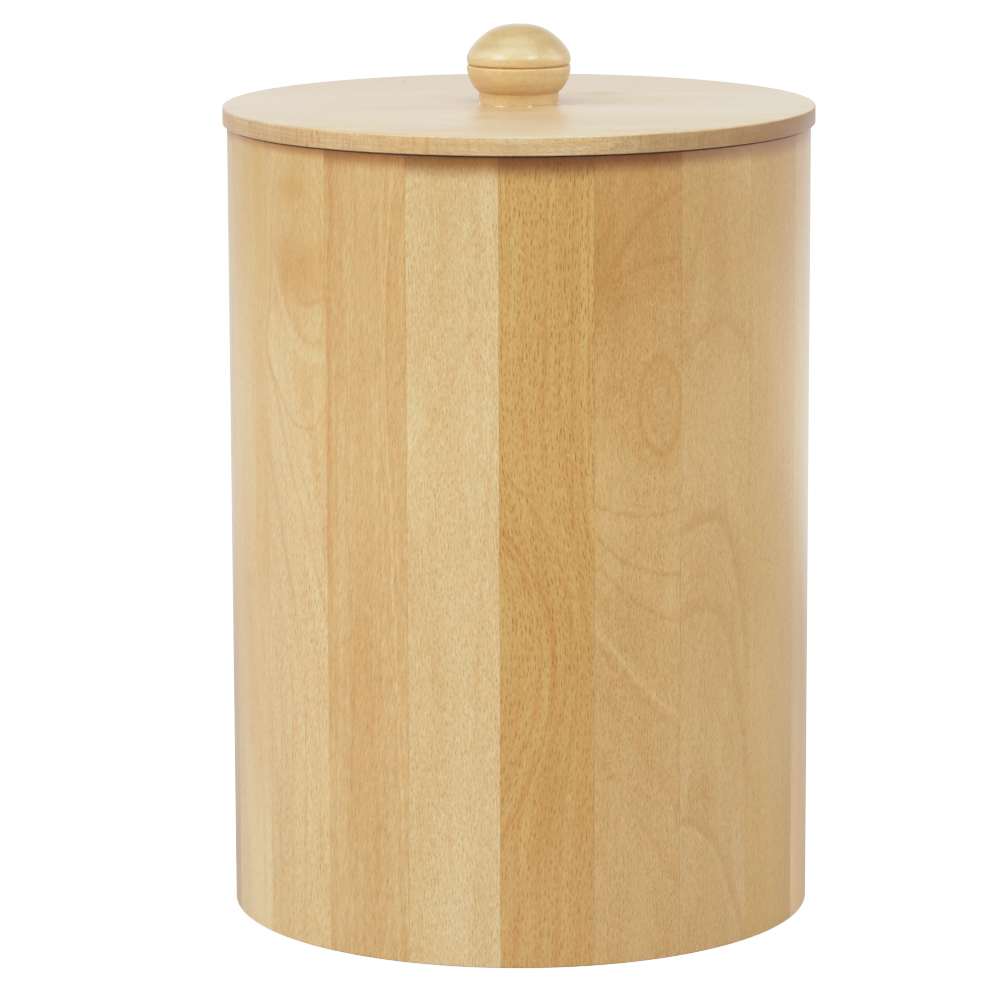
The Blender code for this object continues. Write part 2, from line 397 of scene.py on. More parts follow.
    # Fine fibres lighten and darken it a little. End grain soaks up more lacquer, so it is darker.
    deepen = look.get("fibre", 0.13)
    shade = g.vector(
        g.madd(fibre, deepen, 1.0), g.madd(fibre, 1.25 * deepen, 1.0), g.madd(fibre, 2.2 * deepen, 1.0)
    )
    tinted = g.node("ShaderNodeVectorMath", operation="MULTIPLY")
    g.put(tinted.inputs[0], base)
    g.put(tinted.inputs[1], shade)
    cut = g.ramp(end, 0.35, 1.0, 0.0, look.get("end", 0.75))
    soaked = g.mix(1.0, tinted.outputs[0], (*look.get("end_tint", (0.80, 0.69, 0.55)), 1.0), "MULTIPLY")
    colour = g.mix(cut, tinted.outputs[0], soaked)
    if "brow" in look:
        # Painted shadow: the outside is darkened in the last millimetres under the rim, where the lid's overhang shades
        # it.
        top, reach, tint = look["brow"]
        thick = g.mix(1.0, colour, (*tint, 1.0), "MULTIPLY")
        near = g.mul(g.ramp(along, top - reach, top - 0.18 * reach), g.ramp(end, 0.80, 0.99, 1.0, 0.0))
        near = g.mul(near, g.ramp(deep, 2.0, 5.0, 1.0, 0.0))
        colour = g.mix(near, colour, thick)
    if "rim" in look:
        # The lid's edge: rays and layers cut across at the left, saw marks in the middle, and
        # lacquer that has soaked in and browned towards the right.
        edge = g.mul(g.ramp(deep, 0.2, 0.6), g.ramp(deep, 5.9, 6.25, 1.0, 0.0))
        seam = g.noise(g.vector(g.mul(along, 1 / 2.6), s, g.mul(deep, 1 / 40.0)), detail=2.0, rough=0.75)
        ray = g.ramp(g.math("ABSOLUTE", seam), 0.0, 0.085, 1.0, 0.0)
        roll = g.noise(g.vector(g.mul(along, 1 / 26.0), s + 4, g.mul(deep, 1 / 9.0)), detail=1.0)
        sheet = g.math("FRACT", g.madd(deep, 0.62, g.mul(roll, 0.9)))
        sheet = g.ramp(sheet, 0.0, 0.30, 1.0, 0.0)
        marks = g.math("MAXIMUM", g.mul(ray, 0.75), g.mul(sheet, 0.42))
        marks = g.mul(marks, g.ramp(along, -20.0, -62.0, 0.30, 1.0))
        marked = g.mix(1.0, colour, (0.70, 0.53, 0.34, 1.0), "MULTIPLY")
        colour = g.mix(g.mul(edge, marks), colour, marked)
        smear = g.mul(g.ramp(g.math("ABSOLUTE", g.sub(along, -29.3)), 0.2, 1.3, 1.0, 0.0), edge)
        colour = g.mix(g.mul(smear, 0.75), colour, times(tone, 0.93, 0.62, 0.34))
        saw = g.noise(
            g.vector(g.mul(along, 1 / 0.75), g.mul(across, 1 / 0.75), g.mul(deep, 1 / 0.5)), detail=2.0, rough=0.7
        )
        where = g.ramp(g.math("ABSOLUTE", g.sub(along, 24.0)), 8.0, 34.0, 1.0, 0.35)
        grit = g.mul(g.mul(saw, where), 0.16)
        sawn = g.node("ShaderNodeVectorMath", operation="MULTIPLY")
        g.put(sawn.inputs[0], colour)
        g.put(sawn.inputs[1], g.vector(g.add(grit, 1.0), g.madd(grit, 1.2, 1.0), g.madd(grit, 1.6, 1.0)))
        colour = g.mix(edge, colour, sawn.outputs[0])
        blot = g.noise(g.vector(g.mul(along, 1 / 5.0), g.mul(across, 1 / 12.0), g.mul(deep, 1 / 1.6)), detail=2.0)
        for low, high, tint in look["rim"]:
            browned = g.mix(1.0, colour, (*tint, 1.0), "MULTIPLY")
            near = g.mul(edge, g.ramp(g.madd(blot, 6.0, along), low, high))
            colour = g.mix(near, colour, browned)
        # A paler line along the lower arris: a painted highlight, with some wear on the edge.
        lower_arris_wear_and_highlight = g.mul(g.ramp(deep, 5.45, 5.95), g.ramp(deep, 5.95, 6.2, 1.0, 0.0))
        colour = g.mix(lower_arris_wear_and_highlight, colour, g.mix(1.0, colour, (1.14, 1.13, 1.16, 1.0), "MULTIPLY"))
    if "top_face_shade" in look:
        # Painted shade: the lid's upper face is darkened and cooled, which offsets the stronger light it gets from
        # above.
        face = g.ramp(g.sub(0.5, deep), -0.1, 0.35)
        face_shaded = g.mix(1.0, colour, (*look["top_face_shade"], 1.0), "MULTIPLY")
        colour = g.mix(face, colour, face_shaded)
    # A thin band of painted shade, such as the one in the knob's groove.
    for axis, middle, half, tint in look.get("shade_stripes", ()):
        where = {"across": across, "along": along, "deep": deep}[axis]
        near = g.ramp(g.math("ABSOLUTE", g.sub(where, middle)), 0.4 * half, half, 1.0, 0.0)
        colour = g.mix(near, colour, g.mix(1.0, colour, (*tint, 1.0), "MULTIPLY"))
    for axis, low, high, tint in look.get("tone_and_shade_drifts", ()):
        # A slow change of colour from one side of the board to the other. The staves' drifts along the height and the
        # knob's drifts are painted light and shade; the lid's is a change of tone.
        where = {"across": across, "along": along, "deep": deep}[axis]
        shifted = g.mix(1.0, colour, (*tint, 1.0), "MULTIPLY")
        colour = g.mix(g.ramp(where, low, high), colour, shifted)

    shader = g.node("ShaderNodeBsdfPrincipled")
    g.put(shader.inputs["Base Color"], colour)
    shader.inputs["IOR"].default_value = look.get("ior", 1.46)
    shader.inputs["Specular IOR Level"].default_value = look.get("spec", 0.5)
    rough = g.madd(fibre, 0.03, look.get("rough", 0.40))
    rough = g.madd(fleck, 0.10, rough)
    rough = g.madd(late, -0.03, rough)
    g.put(shader.inputs["Roughness"], rough)
    height = g.madd(fleck, -0.6, g.mul(fibre, 0.35))
    bump = g.node("ShaderNodeBump")
    bump.inputs["Strength"].default_value = look.get("bump", 0.15)
    bump.inputs["Distance"].default_value = 0.0001
    g.put(bump.inputs["Height"], height)
    g.put(shader.inputs["Normal"], bump.outputs[0])
    shader.inputs["Coat Weight"].default_value = look.get("coat", 1.0)
    shader.inputs["Coat Roughness"].default_value = look.get("coat_rough", 0.30)
    shader.inputs["Coat IOR"].default_value = look.get("coat_ior", 1.5)
    out = g.node("ShaderNodeOutputMaterial")
    g.put(out.inputs[0], shader.outputs[0])
    return mat


# The staves that stand at the front, each with its own colour, figure and flecks. Heights are from the floor, and
# across is from the stave's middle line, to the right. The staves' drifts along the height are painted light and shade:
# they darken each stave towards the top, under the lid, and change its brightness towards the bottom, to even out how
# the light falls.
LOOKS = {
    17: dict(
        tone=(0.730, 0.486, 0.214), slope_x=0.09, slope_z=0.006, bow=0.0015, start=0.3,
        bumps=((0, 119, 4, 7, 0.8), (-1, 67, 3, 5, 0.7), (-14, 190, 10, 60, 1.0), (8, 40, 9, 50, -0.7)),
        rings=0.28, fleck=0.45, fleck_cell=(1.2, 2.8), fleck_size=(0.17, 0.9),
        patches=((-1, 119, 1.6, 2.2, 1.0), (-1, 67, 1.3, 1.8, 0.8)),
        tone_and_shade_drifts=(("along", 165, 262, (0.813, 0.789, 0.509)), ("along", 100, 10, (1.102, 1.199, 1.413))),
    ),
    18: dict(
        tone=(0.720, 0.495, 0.242), slope_x=0.125, slope_z=0.036, start=0.55,
        bumps=((9, 228, 10, 27, -4.2), (-15, 232, 9, 22, 1.7), (2, 0, 22, 75, 1.9)),
        rings=0.36, sharp=2.4, stroke_colour=(0.86, 0.70, 0.52), fleck=0.80, fleck_cell=(1.35, 3.2), fleck_size=(0.17, 1.05),
        patches=((3, 228, 12, 13, 1.15), (-3, 255, 8, 6, 0.9), (-9, 226, 5, 10, 0.5), (0, 110, 20, 60, -0.3)),
        fleck_fade=((120, 190, 1.0, 0.6),), band=0.4, leans=((100, 60, -0.05),),
        strokes=(
            ("z", 6, 216.5, 0, 0.25, 0.042, -2.4, 0.85, -3, 16), ("x", 232, -12.0, 0, -0.006, 0.004, 2.4, 0.5, 200, 262), ("z", 10, 197.6, 0, 0.068, 0.02, 4.5, -0.5, -12, 16),
            ("z", 10, 203, 0, 0.068, 0.02, 3.0, 0.40, -12, 16), ("z", 7, 175, 0, 0.048, 0.12, -1.6, 0.55, -16, 16),
            ("z", 0, 156, -2.85, 0, 0, 2.0, 0.42, -16, 16), ("z", 0, 150, -2.85, 0, 0, -3.0, -0.5, -16, 16),
            ("z", 0, 114.5, -3.3, 0, 0, 2.0, 0.36, -16, 2), ("z", 0, 168, -2.4, 0, 0, 1.5, 0.30, -4, 16),
            ("x", 60, -2.5, 0.01, 0, 0, 1.2, 0.38, 0, 105), ("x", 60, 4, 0.01, 0, 0, 1.2, 0.32, 0, 95),
            ("x", 60, -9.5, 0.03, 0, 0, 1.5, 0.32, 0, 105), ("x", 60, 11, -0.01, 0, 0, 1.2, 0.25, 0, 90),
        ),
        tone_and_shade_drifts=(("along", 165, 262, (0.864, 0.854, 0.718)), ("along", 100, 10, (0.987, 1.022, 1.005))),
    ),
    19: dict(
        tone=(0.639, 0.411, 0.169), slope_x=0.02, slope_z=0.002, bow=0.011, start=0.2,
        bumps=((1, 10, 9, 85, -2.4), (-9, 230, 7, 40, 0.6), (9, 180, 4, 60, 0.5)),
        rings=0.26, fleck=0.50, fleck_cell=(1.05, 2.4), fleck_size=(0.15, 0.8), fibre=0.18, fibre_long=4.0,
        patches=((-2, 98, 9, 20, 0.45), (2, 245, 14, 20, 0.25)),
        streak=0.4, fibre_tilt=-0.11,
        strokes=(
            ("x", 190, 7.6, -0.038, 0, 0.0012, 1.3, -1.0, 0, 268), ("x", 190, 8.9, -0.038, 0, 0.0012, 0.8, 0.40, 0, 268),
            ("x", 190, 6.0, -0.038, 0, 0.0012, -1.0, 0.35, 0, 268), ("z", -1, 118, -0.6, 0, -0.13, 1.0, -0.6, -3, 15),
            ("x", 230, -14.0, 0.01, 0, 0, 2.2, 0.70, 120, 268), ("x", 120, -13.0, 0.01, 0, 0, 0.8, -0.5, 60, 200),
            ("x", 150, 3.5, 0.03, 0, 0, 1.2, -0.55, 90, 250), ("x", 70, -6.0, 0.04, 0, 0, 1.4, 0.45, 10, 110), ("x", 50, 10.5, 0.06, 0, 0, 0.8, -0.5, 0, 70),
            ("x", 60, 1.0, 0.05, 0, 0, 1.0, 0.30, 0, 90),
        ),
        tone_and_shade_drifts=(("along", 165, 262, (0.909, 0.893, 0.836)), ("along", 100, 10, (0.971, 0.999, 1.017))),
    ),
    20: dict(
        tone=(0.689, 0.489, 0.240), slope_x=0.10, slope_z=0.004,
        bumps=((-14, 205, 16, 40, 1.3), (16, 150, 9, 32, 1.2), (-10, 90, 12, 40, -0.9)),
        rings=0.22, fleck=0.78, fleck_cell=(1.1, 2.2), fleck_size=(0.16, 0.80), fleck_low=0.7,
        fleck_colour=(0.64, 0.42, 0.14), fibre=0.16, blush=1.6, streak=0.15, fibre_tilt=0.05,
        strokes=(
            ("x", 235, 8.8, 0, -0.005, -0.002, -4.0, 0.24, 165, 268), ("x", 235, -2.2, 0, -0.0075, -0.001, -5.0, 0.26, 195, 268),
            ("x", 120, 9.0, 0.05, 0, 0, 2.0, 0.26, 60, 170), ("x", 80, -4.0, -0.06, 0, 0, 2.5, 0.22, 20, 150),
        ),
        tone_and_shade_drifts=(("along", 165, 262, (0.923, 0.944, 0.935)), ("along", 100, 10, (1.009, 1.059, 1.122))),
    ),
    1: dict(
        tone=(0.576, 0.349, 0.101), slope_x=0.16, slope_z=0.0, follow=True,
        rings=0.42, fleck=1.0, fleck_cell=(1.35, 3.2), fleck_size=(0.17, 1.15), fleck_low=0.85,
        fleck_stray=0.72, fleck_colour=(0.56, 0.28, 0.0), stroke_colour=(0.86, 0.62, 0.36), late=(0.95, 0.72, 0.40), streak=0.4,
        patches=((-3, 112, 6, 22, 0.5), (-5, 58, 5, 22, 0.7), (-9, 140, 5, 14, 0.4)),
        leans=((137, 24, 0.24), (68, 22, -0.20)),
        fleck_fade=((50, 130, 0.80, 1.0),),
        strokes=(
            ("x", 105, 3.0, 0, -0.0048, -0.010, -2.2, 0.62, 20, 155), ("x", 108, -1.5, 0, -0.005, -0.0105, -2.0, 0.44, 40, 150),
            ("x", 112, 8.0, 0, -0.0045, -0.0075, -1.8, 0.34, 30, 190), ("x", 200, 7.9, 0.01, 0, 0, 1.5, 0.50, 150, 268),
            ("x", 200, -1.2, 0.02, 0, 0, 1.5, 0.40, 160, 268), ("x", 200, 13.3, 0, 0, 0, 1.2, 0.40, 170, 268),
            ("x", 200, -13.0, 0, 0, 0, 1.5, 0.40, 190, 268),
        ),
        tone_and_shade_drifts=(("along", 165, 262, (0.957, 0.995, 1.071)), ("along", 100, 10, (0.996, 0.981, 1.085))),
    ),
    2: dict(
        tone=(0.576, 0.361, 0.129), slope_x=0.0, slope_z=0.05, cross=-0.00075, zc=163,
        bumps=((-19, 240, 15, 13, 1.7), (-19, 216, 15, 12, -1.6), (7, 184, 7, 16, 2.3), (8, 236, 9, 12, -0.5)),
        rings=0.16, ripple=0.07, fleck=0.70, fleck_cell=(1.1, 2.2), fleck_size=(0.16, 0.65), fibre=0.16,
        patches=((-12, 226, 8, 18, 0.85), (6, 240, 10, 20, 0.25)),
        strokes=(
            ("z", 0, 244.5, 1.1, -0.0284, -0.0284, 3.4, 0.62, -16, 16), ("z", 0, 230.8, 0.33, -0.0132, -0.0132, 2.6, 0.55, -16, 16),
            ("z", 0, 266, 2.3, 0, 0, 3.5, 0.32, -16, 0), ("z", 0, 219.8, -0.25, 0, 0, 1.8, -0.6, 0, 16),
            ("z", 0, 216.5, -0.55, 0, 0, 1.2, 0.40, 3, 16), ("z", 0, 149.2, -0.1, 0.011, 0.011, 2.2, 0.47, -16, 16),
            ("z", 0, 131.8, -0.45, 0.018, 0.018, 2.0, 0.50, -16, 16), ("z", 0, 120.2, -0.72, 0.0135, 0.0135, 2.0, 0.48, -16, 16),
            ("z", 0, 94.6, -1.07, 0.0135, 0.0135, 3.2, -0.66, -16, 16), ("z", 0, 95.0, -1.07, 0.0135, 0.0135, -2.0, -0.58, -16, 16),
            ("z", 0, 90.6, -1.07, 0.0135, 0.0135, -2.4, 0.38, -16, 16),
            ("z", 0, 72, -1.5, 0, 0, 4.0, 0.24, -16, 16), ("z", 0, 48, -1.6, 0, 0, 4.0, 0.24, -16, 16),
        ),
        loops=((7.3, 185.4, 7.7, 16, 1.3, 0.62), (7.3, 186, 4, 10, 1.6, 0.22)),
        tone_and_shade_drifts=(("along", 165, 262, (0.873, 0.789, 0.662)), ("along", 100, 10, (1.015, 1.038, 1.115))),
    ),
    3: dict(
        tone=(0.585, 0.381, 0.151), slope_x=0.05, slope_z=0.028, bow=0.0049, start=0.25,
        bumps=((6, 240, 4.5, 22, 0.8), (-3, 176, 14, 16, 0.55), (-6, 40, 9, 14, -0.5)),
        stroke_colour=(0.88, 0.76, 0.60), rings=0.18, ripple=0.07, fleck=0.62, fleck_cell=(1.1, 2.3), fleck_size=(0.16, 0.65), fibre=0.16,
        patches=((2, 232, 7, 25, 0.55), (-7, 55, 6, 10, 0.6)),
        strokes=(
            ("z", 0, 210, 0.05, -0.055, -0.055, 6.0, 0.50, -16, 16), ("z", -1, 146.5, 0, -0.022, -0.21, 6.0, 0.70, -16, 16),
            ("z", 0, 113, -0.8, -0.055, -0.22, 5.0, 0.60, -16, 16), ("z", 0, 33, -1.7, -0.06, -0.06, 5.0, 0.66, -16, 16),
            ("z", 0, 32, -1.7, -0.06, -0.06, -3.5, -0.5, -16, 16), ("z", 0, 80, -1.9, -0.06, -0.12, 3.0, 0.26, -8, 16),
            ("z", 1, 258, 0, -0.25, -0.4, 2.0, 0.26, -12, 12),
        ),
        tone_and_shade_drifts=(("along", 165, 262, (0.838, 0.767, 0.526)), ("along", 100, 10, (1.006, 1.007, 1.042))),
    ),
    4: dict(
        tone=(0.597, 0.394, 0.152), slope_x=0.06, slope_z=0.01, bow=0.001,
        bumps=((-10, 200, 12, 50, 0.5), (10, 80, 12, 60, -0.5)),
        rings=0.22, band=0.25, broad=0.22, fleck=0.62, fleck_cell=(1.2, 2.8), fleck_size=(0.17, 0.85),
        tone_and_shade_drifts=(("along", 165, 262, (0.791, 0.699, 0.382)), ("along", 100, 10, (1.011, 0.973, 0.830))),
    ),
    5: dict(
        tone=(0.640, 0.440, 0.200), slope_x=0.08, slope_z=0.008,
        bumps=((6, 210, 10, 40, 0.9), (-8, 120, 10, 50, -0.8)),
        rings=0.28, fleck=0.50,
        tone_and_shade_drifts=(("along", 165, 262, (0.785, 0.708, 0.585)), ("along", 100, 10, (1.317, 1.314, 1.364))),
    ),
    16: dict(
        tone=(0.68, 0.48, 0.26), slope_x=0.07, slope_z=0.012, bow=0.002,
        bumps=((-4, 150, 9, 40, 0.9),),
        rings=0.30, fleck=0.50,
    ),
}


def other_look(number):
    """A look for a stave at the sides or back, in the same range as the front ones."""
    pick = random.Random(7919 + number)
    source = LOOKS[pick.choice((1, 2, 3, 4, 18, 19, 20))]
    tone = tuple(c * pick.uniform(0.96, 1.04) for c in source["tone"])
    kind = pick.choice(("arches", "straight", "slanted", "plain"))
    look = dict(tone=tone, rings=pick.uniform(0.28, 0.45), fleck=pick.uniform(0.50, 0.85))
    size = pick.uniform(0.9, 1.25)
    look["fleck_cell"] = (1.25 * size, 3.0 * size)
    look["fleck_size"] = (0.18 * size, 0.95 * size)
    if kind == "arches":
        look.update(
            slope_x=pick.uniform(-0.06, 0.06), slope_z=pick.choice((-1, 1)) * pick.uniform(0.02, 0.032),
            bow=pick.uniform(0.0035, 0.0055),
            bumps=((pick.uniform(-6, 6), pick.uniform(60, 220), 9, 22, pick.uniform(-0.7, 0.7)),),
        )
    elif kind == "straight":
        look.update(
            slope_x=pick.uniform(0.12, 0.22), slope_z=pick.uniform(-0.004, 0.004), bow=0.001,
            bumps=((pick.uniform(-14, 14), pick.uniform(60, 200), 14, 45, pick.uniform(-1.2, 1.2)),),
        )
    elif kind == "slanted":
        look.update(
            slope_x=pick.choice((-1, 1)) * pick.uniform(0.09, 0.14), slope_z=pick.uniform(0.02, 0.035),
            bumps=((pick.uniform(-10, 10), pick.uniform(60, 220), 9, 26, pick.uniform(-1.8, 1.8)),),
        )
    else:
        look.update(
            slope_x=0.05, slope_z=0.008, bow=0.002,
            bumps=((pick.uniform(-8, 8), pick.uniform(60, 220), 10, 40, pick.uniform(-1.0, 1.0)),),
        )
    return look


# The lid's boards: across runs from front to back, and along from left to right.
LID_LOOKS = {
    "lid_board_front": dict(
        tone=(0.66, 0.47, 0.25), slope_x=0.05, slope_z=0.004, slope_y=0.35,
        bumps=((-60, -40, 22, 70, 1.2), (-48, 50, 20, 60, -1.0)),
        rings=0.30, fleck=0.35, fleck_cell=(1.3, 3.2), fleck_size=(0.16, 0.9),
        top_face_shade=(0.86, 0.885, 1.05), coat=0.9, coat_rough=0.33, streak=0.55, broad=0.5, rough=0.50, spec=0.25,
        rim=((-50, 14, (0.96, 0.95, 0.91)), (18, 46, (0.70, 0.61, 0.53)), (55, 92, (0.76, 0.60, 0.34))),
        tone_and_shade_drifts=(("along", -70, 60, (0.99, 1.04, 1.07)),),
    ),
    "lid_board_middle": dict(
        tone=(0.67, 0.48, 0.27), slope_x=0.06, slope_z=-0.003, slope_y=0.30,
        bumps=((0, -50, 24, 60, 1.0), (10, 60, 20, 70, -1.0)),
        patches=(
            (31.3, 28.9, 3.0, 3.4, 2.0), (30.0, 26.0, 9.0, 14.0, 0.9), (2.0, 45.0, 14.0, 26.0, 0.5),
            # The last patch on the next line, just in front of the knob, is a painted reflection and shade of the knob
            # on the face.
            (14.0, -51.6, 1.3, 0.7, 2.2), (7.4, -38.6, 1.3, 0.6, 1.8), (-20.0, 0.0, 11.0, 15.0, 1.2),
        ),
        rings=0.26, fleck=0.30, fleck_cell=(1.2, 3.0), fleck_size=(0.15, 0.8),
        top_face_shade=(0.86, 0.885, 1.05), coat=0.9, coat_rough=0.33, streak=0.55, broad=0.5, rough=0.50, spec=0.25,
        rim=((-50, 14, (0.96, 0.95, 0.91)), (18, 46, (0.70, 0.61, 0.53)), (55, 92, (0.76, 0.60, 0.34))),
        tone_and_shade_drifts=(("along", -70, 60, (0.99, 1.04, 1.07)),),
    ),
    "lid_board_rear": dict(
        tone=(0.64, 0.45, 0.24), slope_x=0.07, slope_z=0.004, slope_y=0.30,
        bumps=((60, -30, 22, 60, 1.2),), patches=((70.0, -40.0, 9.0, 0.9, 1.3),),
        rings=0.26, fleck=0.30, fleck_cell=(1.2, 3.0), fleck_size=(0.15, 0.8),
        top_face_shade=(0.86, 0.885, 1.05), coat=0.9, coat_rough=0.33, streak=0.55, broad=0.5, rough=0.50, spec=0.25,
        rim=((-50, 14, (0.96, 0.95, 0.91)), (18, 46, (0.70, 0.61, 0.53)), (55, 92, (0.76, 0.60, 0.34))),
    ),
}
# The knob's drifts paint shade: darker towards the right and on the dome, which offsets the light from above; towards
# the foot it turns darker and warmer.
KNOB_LOOK = dict(
    tone=(0.685, 0.497, 0.236), slope_x=0.02, slope_z=0.01, slope_y=0.30, stir=0.5, rings=0.46,
    bow=0.0012, fleck=0.16, fleck_cell=(1.2, 2.6), fleck_size=(0.13, 0.7), vary=1.0, fibre=0.14,
    coat=0.95, coat_ior=1.75, coat_rough=0.29, rough=0.42, spec=0.3, end=0.10,
    shade_stripes=(("deep", 17.05, 0.50, (0.80, 0.62, 0.34)),),
    tone_and_shade_drifts=(
        ("along", -15, 14, (0.92, 0.94, 0.92)), ("deep", 20.5, 28.5, (0.97, 0.94, 0.86)),
        ("deep", 16.0, 10.0, (0.71, 0.70, 0.66)),
    ),
)


# ---------------------------------------------------------------------------------------------
# Plywood, screw and glue


def plywood(name, top, thick, plies, tone, seed):
    """Rotary-cut beech plywood: a broad soft figure on the faces, and its layers on the edge. top
    and thick are the panel's, in millimetres."""
    mat, g = new_material(name)
    coords = g.node("ShaderNodeTexCoord")
    scaled = g.node("ShaderNodeVectorMath", operation="SCALE")
    g.put(scaled.inputs[0], coords.outputs["Object"])
    scaled.inputs["Scale"].default_value = 1000.0
    x, y, z = g.split(scaled.outputs[0])
    _, _, nz = g.split(coords.outputs["Normal"])
    s = seed * 9.3

    warp = g.noise(g.vector(g.madd(y, 1 / 45.0, s), g.mul(x, 1 / 120.0), 0.3), detail=2.5)
    fine = g.noise(g.vector(g.madd(y, 1 / 3.0, s), g.mul(x, 1 / 40.0), 0.8), detail=2.0)
    field = g.madd(warp, 3.2, g.madd(fine, 0.10, g.mul(y, 0.018)))
    layer = g.math("FRACT", field)
    late = g.math("MAXIMUM", g.math("POWER", layer, 3.0), g.ramp(layer, 0.0, 0.15, 0.7, 0.0))
    fibre = g.noise(g.vector(g.mul(y, 1 / 0.45), g.mul(x, 1 / 6.0), s), detail=2.0, rough=0.6)
    cells = g.node("ShaderNodeTexVoronoi", voronoi_dimensions="2D", feature="F1")
    g.put(cells.inputs["Vector"], g.vector(g.mul(y, 1 / 1.1), g.mul(x, 1 / 3.2), 0.0))
    cells.inputs["Scale"].default_value = 1.0
    dash = g.ramp(cells.outputs["Distance"], 0.08, 0.26, 1.0, 0.0)
    face = g.mix(g.mul(late, 0.35), times(tone, 1, 1, 1), times(tone, 0.88, 0.76, 0.58))
    face = g.mix(g.mul(dash, 0.35), face, times(tone, 0.66, 0.52, 0.36))

    depth = g.mul(g.sub(top, z), plies / thick)
    ply = g.math("FLOOR", depth)
    odd = g.math("MODULO", ply, 2.0)
    wobble = g.noise(g.vector(g.mul(x, 1 / 2.0), g.mul(y, 1 / 2.0), g.mul(ply, 3.7)), detail=3.0)
    edge = g.mix(g.madd(wobble, 0.35, odd), times(tone, 1.02, 1.0, 0.96), times(tone, 0.74, 0.60, 0.44))
    inside = g.math("FRACT", depth)
    glue = g.math("MAXIMUM", g.ramp(inside, 0.0, 0.12, 1.0, 0.0), g.ramp(inside, 0.90, 1.0, 0.0, 1.0))
    edge = g.mix(g.mul(glue, 0.7), edge, times(tone, 0.42, 0.30, 0.20))
    flat = g.ramp(g.math("ABSOLUTE", nz), 0.45, 0.75)
    colour = g.mix(flat, edge, face)

    shade = g.madd(fibre, 0.07, 1.0)
    tinted = g.node("ShaderNodeVectorMath", operation="SCALE")
    g.put(tinted.inputs[0], colour)
    g.put(tinted.inputs["Scale"], shade)
    shader = g.node("ShaderNodeBsdfPrincipled")
    g.put(shader.inputs["Base Color"], tinted.outputs[0])
    shader.inputs["IOR"].default_value = 1.46
    g.put(shader.inputs["Roughness"], g.madd(fibre, 0.05, g.madd(dash, 0.08, 0.5)))
    bump = g.node("ShaderNodeBump")
    bump.inputs["Strength"].default_value = 0.25
    bump.inputs["Distance"].default_value = 0.0001
    g.put(bump.inputs["Height"], g.madd(dash, -0.5, g.mul(fibre, 0.5)))
    g.put(shader.inputs["Normal"], bump.outputs[0])
    out = g.node("ShaderNodeOutputMaterial")
    g.put(out.inputs[0], shader.outputs[0])
    return mat


def zinc(name):
    """Bright zinc plating on a small screw, slightly cloudy and yellowish."""
    mat, g = new_material(name)
    coords = g.node("ShaderNodeTexCoord")
    scaled = g.node("ShaderNodeVectorMath", operation="SCALE")
    g.put(scaled.inputs[0], coords.outputs["Object"])
    scaled.inputs["Scale"].default_value = 1000.0
    cloud = g.noise(scaled.outputs[0], detail=3.0, rough=0.6)
    fine_at = g.node("ShaderNodeVectorMath", operation="SCALE")
    g.put(fine_at.inputs[0], scaled.outputs[0])
    fine_at.inputs["Scale"].default_value = 5.0
    grit = g.noise(fine_at.outputs[0], detail=2.0)
    mixed = g.ramp(cloud, -0.6, 0.6)
    colour = g.mix(mixed, (0.62, 0.63, 0.62, 1.0), (0.74, 0.71, 0.60, 1.0))
    shader = g.node("ShaderNodeBsdfPrincipled")
    g.put(shader.inputs["Base Color"], colour)
    shader.inputs["Metallic"].default_value = 1.0
    g.put(shader.inputs["Roughness"], g.madd(cloud, 0.10, g.madd(grit, 0.05, 0.34)))
    bump = g.node("ShaderNodeBump")
    bump.inputs["Strength"].default_value = 0.15
    bump.inputs["Distance"].default_value = 0.00005
    g.put(bump.inputs["Height"], grit)
    g.put(shader.inputs["Normal"], bump.outputs[0])
    out = g.node("ShaderNodeOutputMaterial")
    g.put(out.inputs[0], shader.outputs[0])
    return mat


def dried_glue(name):
    """Milky wood glue, squeezed out and dried. Where it is thin, it is clear and shows the wood."""
    mat, g = new_material(name)
    coords = g.node("ShaderNodeTexCoord")
    x, y, z = g.split(coords.outputs["Object"])
    radius = g.math("SQRT", g.madd(x, x, g.mul(y, y)))
    proud = g.math("MAXIMUM", g.madd(radius, 1000.0, -13.64), g.madd(z, 1000.0, -274.67))
    scaled = g.node("ShaderNodeVectorMath", operation="SCALE")
    g.put(scaled.inputs[0], coords.outputs["Object"])
    scaled.inputs["Scale"].default_value = 400.0
    blot = g.noise(scaled.outputs[0], detail=3.0, rough=0.6)
    milky = g.ramp(g.madd(blot, 0.10, proud), -0.02, 0.24)
    colour = g.mix(milky, (0.48, 0.34, 0.16, 1.0), (0.86, 0.75, 0.59, 1.0))
    shader = g.node("ShaderNodeBsdfPrincipled")
    g.put(shader.inputs["Base Color"], colour)
    shader.inputs["IOR"].default_value = 1.47
    g.put(shader.inputs["Roughness"], g.madd(blot, 0.12, 0.34))
    bump = g.node("ShaderNodeBump")
    bump.inputs["Strength"].default_value = 0.3
    bump.inputs["Distance"].default_value = 0.0002
    g.put(bump.inputs["Height"], blot)
    g.put(shader.inputs["Normal"], bump.outputs[0])
    out = g.node("ShaderNodeOutputMaterial")
    g.put(out.inputs[0], shader.outputs[0])
    return mat


# ---------------------------------------------------------------------------------------------
# Meshes


def to_object(bm, name, material, angle=32.0):
    bmesh.ops.recalc_face_normals(bm, faces=bm.faces)
    mesh = bpy.data.meshes.new(name)
    bm.to_mesh(mesh)
    bm.free()
    mesh.shade_smooth()
    mesh.set_sharp_from_angle(angle=math.radians(angle))
    mesh.materials.append(material)
    obj = bpy.data.objects.new(name, mesh)
    bpy.context.scene.collection.objects.link(obj)
    return obj


def arc(cx, cy, radius, start, stop, steps):
    """Points on an arc, in degrees, as (cx + r cos, cy + r sin)."""
    return [
        (
            cx + radius * math.cos(math.radians(start + (stop - start) * i / steps)),
            cy + radius * math.sin(math.radians(start + (stop - start) * i / steps)),
        )
        for i in range(steps + 1)
    ]


